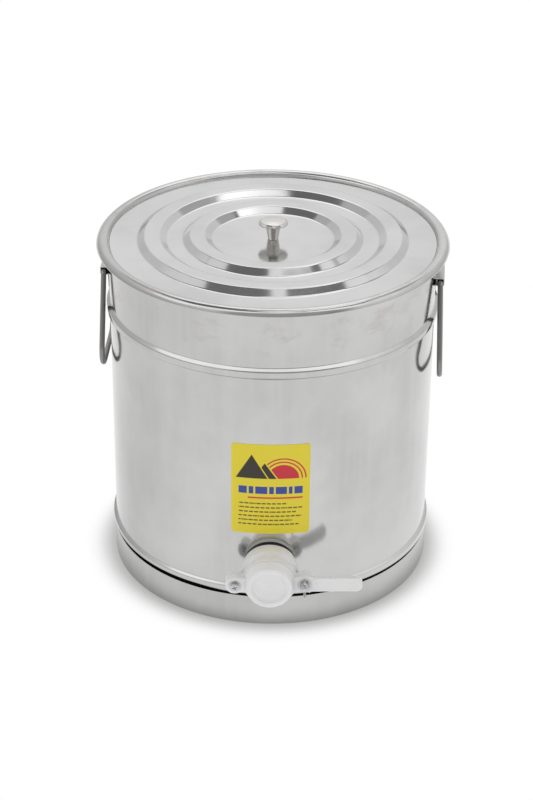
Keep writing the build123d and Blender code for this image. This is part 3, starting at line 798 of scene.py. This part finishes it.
def wall_marks_and_painted_light(tree, tone, roughness):
    """The wall's smudges and its painted light: shade painted on the left, warm smudges above the rib, a
    satin inside painted lighter and a neck painted dark as shade.
    """
    x, y, z = split_place(tree, scaled_place(tree, EVENLY))
    # Painted shade: the wall's tone is scaled darker towards its left side.
    left_shade = tree.nodes.new("ShaderNodeVectorMath")
    left_shade.operation = "SCALE"
    left = ramp(tree, x, low=-0.165, high=-0.08, to_low=0.84, to_high=1.0)
    feed(tree, (left_shade.inputs[0], left_shade.inputs["Scale"]), (tone, left))
    smudge = noise(tree, scaled_place(tree, (1, 1, 1.6)), scale=26.0, detail=5.0, rough=0.6)
    above_rib = ramp(tree, z, low=0.318, high=0.35)
    zone = calc(tree, "MULTIPLY", above_rib, ramp(tree, smudge, low=0.5, high=0.72))
    tone = blend(tree, calc(tree, "MULTIPLY", zone, 0.8), left_shade.outputs[0], (0.50, 0.47, 0.455, 1))
    roughness = calc(tree, "MULTIPLY_ADD", zone, 0.14, roughness)
    from_axis = calc(tree, "SQRT", calc(tree, "MULTIPLY_ADD", x, x, calc(tree, "MULTIPLY", y, y)))
    # Painted light: the inside gets a lighter tone that stands in for light lost between bounces in the
    # closed tank; its satin roughness is a finish.
    inside = ramp(tree, from_axis, low=0.1798, high=0.1794)
    tone = blend(tree, inside, tone, (0.74, 0.74, 0.735, 1))
    roughness = calc(tree, "MULTIPLY_ADD", inside, 0.3, roughness)
    # Painted shade: the neck in the gap behind the base ring is painted near black.
    painted_neck_shade = ramp(tree, from_axis, low=0.1787, high=0.1779)
    tone = blend(tree, painted_neck_shade, tone, (0.022, 0.022, 0.021, 1))
    return tone, calc(tree, "MULTIPLY_ADD", painted_neck_shade, 0.5, roughness)


def steel(name, colour, rough, streaks, marks_and_painted_light=None):
    """Polished sheet: colour and roughness vary with clouds and with streaks stretched by the given
    scale, and a function may add one piece's own marks and its painted light and shade."""
    mat, tree, shader = new_material(name)
    shader.inputs["Metallic"].default_value = 1.0
    clouds = noise(tree, scaled_place(tree, EVENLY), scale=9.0, detail=4.0, rough=0.55)
    lines = noise(tree, scaled_place(tree, streaks), scale=1.0, detail=4.0, rough=0.6)
    tone = blend(tree, ramp(tree, clouds, low=0.32, high=0.68), shade_of(colour, 0.9), shade_of(colour, 1.06))
    streaked = ramp(tree, lines, low=0.35, high=0.75, to_low=0.0, to_high=0.5)
    tone = blend(tree, streaked, tone, shade_of(colour, 1.04))
    roughness = calc(tree, "MULTIPLY_ADD", clouds, 0.08, rough - 0.04)
    roughness = calc(tree, "MULTIPLY_ADD", lines, 0.06, roughness)
    if marks_and_painted_light:
        tone, roughness = marks_and_painted_light(tree, tone, roughness)
    finish(tree, shader, tone, roughness)
    fine = noise(tree, scaled_place(tree, tuple(s * 6 for s in streaks)), scale=1.0, detail=2.0, rough=0.5)
    bump(tree, shader, fine, strength=0.03, distance=0.0004)
    return mat


wall_steel = steel("polished_wall", (0.565, 0.565, 0.56), 0.11, (60, 60, 3), wall_marks_and_painted_light)
ring_steel = steel("polished_hoop", (0.505, 0.504, 0.50), 0.16, (60, 60, 3))
lid_steel = steel("polished_lid", (0.585, 0.588, 0.585), 0.08, (16, 16, 16))
knob_steel = steel("turned_knob", (0.60, 0.585, 0.56), 0.16, (20, 20, 400))
wire_steel = steel("drawn_wire", (0.26, 0.255, 0.25), 0.30, (300, 300, 40))
strap_steel = steel("folded_strap", (0.48, 0.478, 0.472), 0.2, (80, 80, 80))
# Painted light: this steel's light tone stands in for light lost between bounces inside the closed tank.
inside_steel = steel("satin_inside_painted_lighter", (0.72, 0.72, 0.715), 0.42, (16, 16, 16))
dressed = [(tank_wall, wall_steel), (base_ring, ring_steel), (lid_plate, lid_steel), (knob, knob_steel),
           (handle_right, wire_steel), (handle_left, wire_steel), *((strap, strap_steel) for strap in straps)]
for piece, mat in dressed:
    piece.data.materials.append(mat)
print("steel pieces:", {piece.name: mat.name for piece, mat in dressed})

# %% [markdown]
# White plastic, zinc and rubber.
# The moulded gate is a satin white with a faint grain, and a little light passes under its surface, which
# keeps its shadows soft. The fasteners are zinc plated: a bluish metal with a crystalline mottle. The
# gasket is matt.

# %% Plastic, zinc and rubber
def moulded_white():
    """Satin white: nearly even colour, fine grain in the relief, and a shallow glow under the surface."""
    mat, tree, shader = new_material("moulded_white")
    grain = noise(tree, scaled_place(tree, EVENLY), scale=900.0, detail=2.0)
    cloud = noise(tree, scaled_place(tree, EVENLY), scale=40.0)
    dim, lit = (0.83, 0.832, 0.832, 1), (0.87, 0.872, 0.872, 1)
    tone = blend(tree, ramp(tree, cloud, low=0.3, high=0.7), dim, lit)
    finish(tree, shader, tone, calc(tree, "MULTIPLY_ADD", cloud, 0.12, 0.30))
    shader.inputs["Subsurface Weight"].default_value = 0.12
    shader.inputs["Subsurface Radius"].default_value = (0.003, 0.003, 0.0025)
    shader.inputs["Subsurface Scale"].default_value = 1.0
    bump(tree, shader, grain, strength=0.05, distance=0.0002)
    return mat


def zinc_plate():
    """Bright zinc: metal with a mottled tone and roughness."""
    mat, tree, shader = new_material("zinc_plate")
    shader.inputs["Metallic"].default_value = 1.0
    spots = tree.nodes.new("ShaderNodeTexVoronoi")
    feed(tree, (spots.inputs["Vector"], spots.inputs["Scale"]), (scaled_place(tree, EVENLY), 900.0))
    mottle = spots.outputs["Distance"]
    tone = blend(tree, mottle, (0.46, 0.47, 0.48, 1), (0.62, 0.625, 0.63, 1))
    finish(tree, shader, tone, calc(tree, "MULTIPLY_ADD", mottle, 0.15, 0.18))
    return mat


def black_rubber():
    """Matt black rubber with a dusty bloom and a pebbled relief."""
    mat, tree, shader = new_material("black_rubber")
    dust = noise(tree, scaled_place(tree, EVENLY), scale=120.0, detail=4.0)
    clean, dusty = (0.012, 0.012, 0.012, 1), (0.04, 0.04, 0.038, 1)
    tone = blend(tree, ramp(tree, dust, low=0.45, high=0.8), clean, dusty)
    finish(tree, shader, tone, calc(tree, "MULTIPLY_ADD", dust, 0.2, 0.5))
    pebbles = noise(tree, scaled_place(tree, EVENLY), scale=1500.0)
    bump(tree, shader, pebbles, strength=0.2, distance=0.0002)
    return mat


white, zinc, rubber = moulded_white(), zinc_plate(), black_rubber()
for piece in (gate_body, gate_flap):
    piece.data.materials.append(white)
for piece in (pivot_screw, pivot_washer, clamp_bolt, clamp_washer, wing_nut):
    piece.data.materials.append(zinc)
kept_nodes = {"tank_bottom": inside_steel, "outlet_socket": ring_steel, "knob_washer": zinc,
              "knob_screw": zinc, "pivot_back_washer": zinc, "pivot_nut": zinc, "gate_gasket": rubber,
              "socket_seal": rubber}
for name, mat in kept_nodes.items():
    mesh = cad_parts[name].data
    mesh.materials.clear()
    mesh.materials.append(mat)
print("solids kept in view:", sorted(kept_nodes))

# %% [markdown]
# The label's print.
# The print is flat ink on yellow film: a red sun with rings behind two dark hills, a row of blue bars, a
# red rule and some broken rules. Each motif is a mask made from the flat coordinates by arithmetic, and
# the masks lay one ink over another, as a press does.

# %% Label film
RED, BLUE, WARM_RED = (0.62, 0.02, 0.035, 1), (0.03, 0.06, 0.33, 1), (0.62, 0.06, 0.03, 1)
HILL_INK, RULE_INK, BARE_FILM = (0.03, 0.02, 0.01, 1), (0.10, 0.08, 0.015, 1), (0.83, 0.685, 0.026, 1)
SUN, SUN_R, HALO, HALO_WIDTH = (56, 69), 17, (19.5, 23.5), 1.6
HILLS, HILL_GAP = ((36, 88, 1.5), (22, 98, 1.7)), 2.4
BARS = ((8, 17), (19, 24), (26, 39), (41, 46), (48, 60), (62, 66), (68, 77))
RULE_ENDS, RULE_TOP, RULE_PITCH, RULE_WIDTH = (60, 77, 70, 76, 66, 73), 37.0, 5.2, 1.6


def label_film():
    """Yellow film with inks laid in order; each ink's mask is a distance or a band in millimetres."""
    mat, tree, shader = new_material("label_film")
    uv = tree.nodes.new("ShaderNodeUVMap")
    uv.uv_map = "sheet"
    across, along, _ = split_place(tree, uv.outputs[0])
    x = calc(tree, "MULTIPLY", across, LABEL_W)
    y = calc(tree, "MULTIPLY", along, LABEL_H)

    def both(a, b):
        """Where two masks overlap: their product."""
        return calc(tree, "MULTIPLY", a, b)

    def band(value, low, high, soft=0.25):
        """1 between low and high, with soft edges."""
        return both(ramp(tree, value, low - soft, low + soft), ramp(tree, value, high + soft, high - soft))

    def ring(low, high):
        """Band of distances from the sun's centre, sqrt(dx^2 + dy^2)."""
        dx, dy = calc(tree, "SUBTRACT", x, SUN[0]), calc(tree, "SUBTRACT", y, SUN[1])
        return band(calc(tree, "SQRT", calc(tree, "ADD", both(dx, dx), both(dy, dy))), low, high)

    def hill(middle, top, slope):
        """Below the line top - slope |x - middle|, and above the ground."""
        fall = both(calc(tree, "ABSOLUTE", calc(tree, "SUBTRACT", x, middle)), slope)
        return both(ramp(tree, calc(tree, "ADD", calc(tree, "ADD", fall, y), -top), 0.3, -0.3), above)

    cloud = noise(tree, scaled_place(tree, EVENLY), scale=60.0)
    tone = blend(tree, cloud, (0.80, 0.66, 0.022, 1), (0.86, 0.71, 0.03, 1))
    above = ramp(tree, y, low=68.6, high=69.1)
    for low, high in ((-1, SUN_R), *((inside, inside + HALO_WIDTH) for inside in HALO)):
        tone = blend(tree, both(ring(low, high), above), tone, RED)
    for middle, top, slope in HILLS:
        tone = blend(tree, hill(middle, top + HILL_GAP, slope), tone, BARE_FILM)
        tone = blend(tree, hill(middle, top, slope), tone, HILL_INK)
    for low, high in BARS:
        tone = blend(tree, both(band(y, 50, 59), band(x, low, high)), tone, BLUE)
    tone = blend(tree, both(band(y, 44, 46), band(x, 18, 77)), tone, WARM_RED)
    for line, end in enumerate(RULE_ENDS):
        low = RULE_TOP - RULE_PITCH * line
        beat = calc(tree, "SINE", calc(tree, "MULTIPLY_ADD", x, 1.7, 2.0 * line))
        slow = calc(tree, "SINE", calc(tree, "MULTIPLY_ADD", x, 0.61, 1.3 * line))
        dashes = ramp(tree, both(beat, slow), low=-0.55, high=-0.35)
        rule = both(band(y, low, low + RULE_WIDTH), band(x, 8, end))
        tone = blend(tree, both(rule, dashes), tone, RULE_INK)
    finish(tree, shader, tone, calc(tree, "MULTIPLY_ADD", cloud, 0.1, 0.32))
    return mat


label.data.materials.append(label_film())
print("label print:", len(label.data.materials[0].node_tree.nodes), "nodes")

# %% [markdown]
# Floor, studio and light.
# The tank stands on seamless white. The floor glows evenly, so that the steel mirrors it as it mirrors
# white paper, and it dims close to the tank by ambient occlusion, which is the soft contact shadow.
# Polished steel shows the room more than itself, so the room is made with care: bright walls, dimmer at
# the sides and in front where the camera stands, and brighter high at the back. The camera itself sees
# plain white behind the tank. Over the tank hang a dark ceiling, a soft box that is brighter towards the
# back, a strip in front and a wing at each side. They hang a metre above the lid and not at infinity,
# because each slope of the lid sees them from its own place.

# %% Floor
FLOOR_REACH = 6.0
floor_corners = [(sx * FLOOR_REACH, sy * FLOOR_REACH, 0) for sx, sy in ((-1, -1), (1, -1), (1, 1), (-1, 1))]
floor_mesh = bpy.data.meshes.new("white_floor")
floor_mesh.from_pydata(floor_corners, [], [(0, 1, 2, 3)])
floor = bpy.data.objects.new("white_floor", floor_mesh)
bpy.context.scene.collection.objects.link(floor)
floor_mat, tree, shader = new_material("white_paper")
tree.nodes.remove(shader)
shade = tree.nodes.new("ShaderNodeAmbientOcclusion")
shade.samples = 12
shade.inputs["Distance"].default_value = 0.04
glow = tree.nodes.new("ShaderNodeEmission")
open_floor = ramp(tree, shade.outputs["AO"], low=0.47, high=0.98)
tree.links.new(blend(tree, open_floor, (0.44, 0.44, 0.435, 1), (1.0, 1.0, 1.0, 1)), glow.inputs["Color"])
tree.links.new(glow.outputs[0], tree.nodes["Material Output"].inputs["Surface"])
floor_mesh.materials.append(floor_mat)
print("floor:", 2 * FLOOR_REACH, "m across")

# %% Studio world
world = bpy.data.worlds.new("studio")
bpy.context.scene.world = world
world.use_nodes = True
tree = world.node_tree
back = tree.nodes["Background"]
aim = tree.nodes.new("ShaderNodeTexCoord").outputs["Generated"]


def towards(direction):
    """Cosine of the angle between where a ray goes and the given direction."""
    n = tree.nodes.new("ShaderNodeVectorMath")
    n.operation = "DOT_PRODUCT"
    feed(tree, n.inputs, (aim, direction))
    return n.outputs["Value"]


def times(a, b):
    """Product of two brightness patterns."""
    return calc(tree, "MULTIPLY", a, b)


across, rearward, rise = towards((1, 0, 0)), towards((0, 1, 0)), towards((0, 0, 1))
aside = calc(tree, "ABSOLUTE", across)
upper_walls = ramp(tree, rise, low=0.0, high=0.5, to_low=0.80, to_high=1.03)
walls = calc(tree, "MULTIPLY_ADD", across, 0.10, upper_walls)
side_loss = ramp(tree, aside, low=0.3, high=0.6, to_low=0.0, to_high=-0.22)
dim_sides = calc(tree, "MULTIPLY_ADD", side_loss, ramp(tree, rise, low=0.75, high=0.5), 1.0)
dim_front = ramp(tree, towards((0.142, -0.807, 0.574)), low=0.74, high=0.86, to_low=1.0, to_high=0.45)
back_gain = times(ramp(tree, rise, low=0.54, high=0.70, to_low=0.0, to_high=0.5),
                  ramp(tree, rearward, low=0.1, high=0.45))
high_back = calc(tree, "MULTIPLY_ADD", back_gain, ramp(tree, aside, low=0.5, high=0.3), 1.0)
room = times(times(walls, dim_sides), times(dim_front, high_back))
seen = tree.nodes.new("ShaderNodeLightPath").outputs["Is Camera Ray"]
level = calc(tree, "MAXIMUM", times(room, calc(tree, "SUBTRACT", 1.0, seen)), seen)
tree.links.new(level, back.inputs["Strength"])
back.inputs["Color"].default_value = (1, 1, 1, 1)
print("studio:", len(tree.nodes), "nodes")

# %% Ceiling, soft box and strips
CEILING_Z, STRIP_DROP, BOX_DROP = 1.39, 0.004, 0.005


def glowing_sheet(name, outline, height, strength, far_strength=None):
    """Flat sheet over the tank, seen only in the steel; its outline (x, y) is in metres, and it grows
    brighter towards the back if a far strength is given."""
    sheet = bpy.data.meshes.new(name)
    sheet.from_pydata([(x, y, height) for x, y in outline], [], [list(range(len(outline)))])
    mat, sheet_tree, sheet_shader = new_material(name)
    sheet_tree.nodes.remove(sheet_shader)
    light = sheet_tree.nodes.new("ShaderNodeEmission")
    light.inputs["Strength"].default_value = strength
    if far_strength is not None:
        y = split_place(sheet_tree, scaled_place(sheet_tree, EVENLY))[1]
        rising = ramp(sheet_tree, y, low=-0.07, high=0.17, to_low=strength, to_high=far_strength)
        sheet_tree.links.new(rising, light.inputs["Strength"])
    sheet_tree.links.new(light.outputs[0], sheet_tree.nodes["Material Output"].inputs["Surface"])
    sheet.materials.append(mat)
    hung = bpy.data.objects.new(name, sheet)
    bpy.context.scene.collection.objects.link(hung)
    hung.visible_camera = False


ceiling_outline = [(-0.62, -0.56), (0.74, -0.56), (0.72, -0.05), (0.62, 0.12), (0.66, 0.34), (0.2, 0.30),
                   (-0.3, 0.40), (-0.70, 0.43), (-0.70, 0.28), (-0.62, 0.14)]
strip_outline = [(-1.3, -0.56), (0.95, -0.56), (0.95, -0.20), (0.45, -0.25), (0.12, -0.35), (-0.1, -0.35),
                 (-0.45, -0.25), (-0.82, -0.14), (-0.92, 0.12), (-1.3, 0.12)]
left_outline = [(-0.95, 0.43), (-0.45, 0.43), (-0.45, 1.05), (-0.95, 1.05)]
right_outline = [(0.45, 0.34), (0.95, 0.34), (0.95, 1.0), (0.45, 1.0)]
box_outline = [(0.05, -0.34), (0.115, -0.34), (0.13, -0.21), (0.35, -0.14), (0.50, -0.04), (0.54, 0.10),
               (0.55, 0.22), (0.50, 0.29), (-0.15, 0.05), (-0.08, -0.10), (-0.05, -0.22)]
glowing_sheet("dark_ceiling", ceiling_outline, CEILING_Z, strength=0.2)
glowing_sheet("front_strip", strip_outline, CEILING_Z - STRIP_DROP, strength=1.5)
glowing_sheet("left_wing", left_outline, CEILING_Z, strength=0.62)
glowing_sheet("right_wing", right_outline, CEILING_Z, strength=0.56)
glowing_sheet("soft_box", box_outline, CEILING_Z - BOX_DROP, strength=1.08, far_strength=1.8)

# %% [markdown]
# The camera.
# A long lens looks down on the tank from the front. Its place and tilt were worked out from the outlines
# of the rim, the ribs and the base, so the picture's frame needs no shift.

# %% Camera
from mathutils import Matrix

PITCH, TILT, YAW = 0.49864, 0.00864, -0.00274
CAMERA_PLACE, LENS, SENSOR = (0.0, -2.0792, 1.3166), 93.323, 36.0
ahead = np.array([np.sin(YAW) * np.cos(PITCH), np.cos(YAW) * np.cos(PITCH), -np.sin(PITCH)])
right = np.array([np.cos(YAW), -np.sin(YAW), 0.0])
upward = np.cross(right, ahead)
camera = bpy.data.objects.new("camera", bpy.data.cameras.new("camera"))
camera.data.lens = LENS
camera.data.sensor_width = SENSOR
pose = np.eye(4)
pose[:3, 0] = np.cos(TILT) * right + np.sin(TILT) * upward
pose[:3, 1] = np.cos(TILT) * upward - np.sin(TILT) * right
pose[:3, 2] = -ahead
pose[:3, 3] = CAMERA_PLACE
camera.matrix_world = Matrix(pose.tolist())
bpy.context.scene.collection.objects.link(camera)
bpy.context.scene.camera = camera
bpy.context.scene.view_settings.view_transform = "Standard"
print("camera at", CAMERA_PLACE, "m, lens", LENS, "mm")
